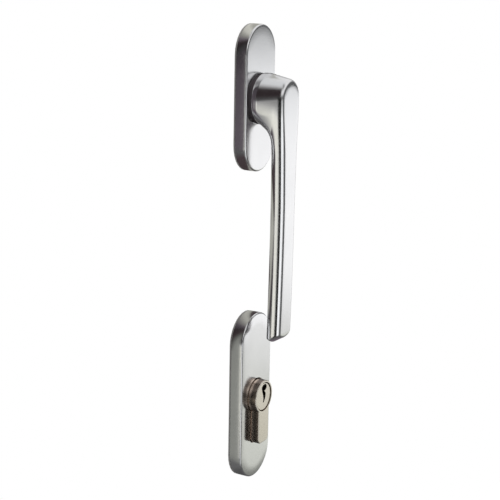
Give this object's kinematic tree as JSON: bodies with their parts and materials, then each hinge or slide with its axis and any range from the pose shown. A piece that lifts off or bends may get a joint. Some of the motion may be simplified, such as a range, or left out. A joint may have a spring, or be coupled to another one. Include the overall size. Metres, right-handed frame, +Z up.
{
  "type": "tilt turn window handle",
  "caption": "Tilt and turn window handle: hanging lever on an oblong rosette, with a separate oblong escutcheon that holds a half profile cylinder.",
  "frame": {"origin": "where the spindle axis crosses the sash face", "axes": "+Z up along the closed lever, +Y into the sash along the spindle, -Y towards the room"},
  "size_m": [0.029, 0.0589, 0.2297],
  "materials": {
    "satin_metal": "satin, polished to a soft shine",
    "dark_plastic": "smooth dark plastic",
    "cast_zinc": "as cast",
    "gasket_rubber": "matt pale grey",
    "plain_steel": "zinc plated",
    "nickel": "matt nickel",
    "brass": "turned"
  },
  "bodies": {
    "mounting": {"rosette_gasket": "gasket_rubber", "rosette_base": "cast_zinc", "bearing_ring": "dark_plastic", "rosette_screw_upper": "plain_steel", "rosette_screw_lower": "plain_steel", "detent_spring_right": "plain_steel", "detent_spring_left": "plain_steel", "escutcheon_gasket": "gasket_rubber", "escutcheon_base": "cast_zinc", "escutcheon_screw_upper": "plain_steel", "escutcheon_screw_lower": "plain_steel", "cylinder_body": "nickel", "driver_pin_1": "plain_steel", "pin_spring_1": "plain_steel", "chamber_cap_1": "brass", "driver_pin_2": "plain_steel", "pin_spring_2": "plain_steel", "chamber_cap_2": "brass", "driver_pin_3": "plain_steel", "pin_spring_3": "plain_steel", "chamber_cap_3": "brass", "driver_pin_4": "plain_steel", "pin_spring_4": "plain_steel", "chamber_cap_4": "brass", "driver_pin_5": "plain_steel", "pin_spring_5": "plain_steel", "chamber_cap_5": "brass"},
    "lever": {"lever": "satin_metal", "spindle": "plain_steel", "spindle_pin": "plain_steel", "detent_plate": "plain_steel", "neck_clip": "plain_steel"},
    "rosette_cover": {"rosette_cover": "satin_metal"},
    "escutcheon_cover": {"escutcheon_cover": "satin_metal"},
    "plug": {"plug": "nickel", "plug_clip": "plain_steel", "cam": "plain_steel", "key_pin_1": "brass", "key_pin_2": "brass", "key_pin_3": "brass", "key_pin_4": "brass", "key_pin_5": "brass"}
  },
  "joints": [
    {"name": "lever_turn", "type": "hinge", "parent": "mounting", "child": "lever", "pos_m": [0, 0, 0], "axis": [0, -1, 0], "range_deg": [0, 180], "deforming": ["detent_spring_right", "detent_spring_left"]},
    {"name": "plug_turn", "type": "hinge", "parent": "mounting", "child": "plug", "pos_m": [0, 0, -0.1505], "axis": [0, -1, 0], "continuous": true},
    {"name": "rosette_cover_lift", "type": "slide", "parent": "mounting", "child": "rosette_cover", "axis": [0, -1, 0], "range_m": [0, 0.0015]},
    {"name": "escutcheon_cover_pull", "type": "slide", "parent": "mounting", "child": "escutcheon_cover", "axis": [0, -1, 0], "range_m": [0, 0.0055]}
  ]
}
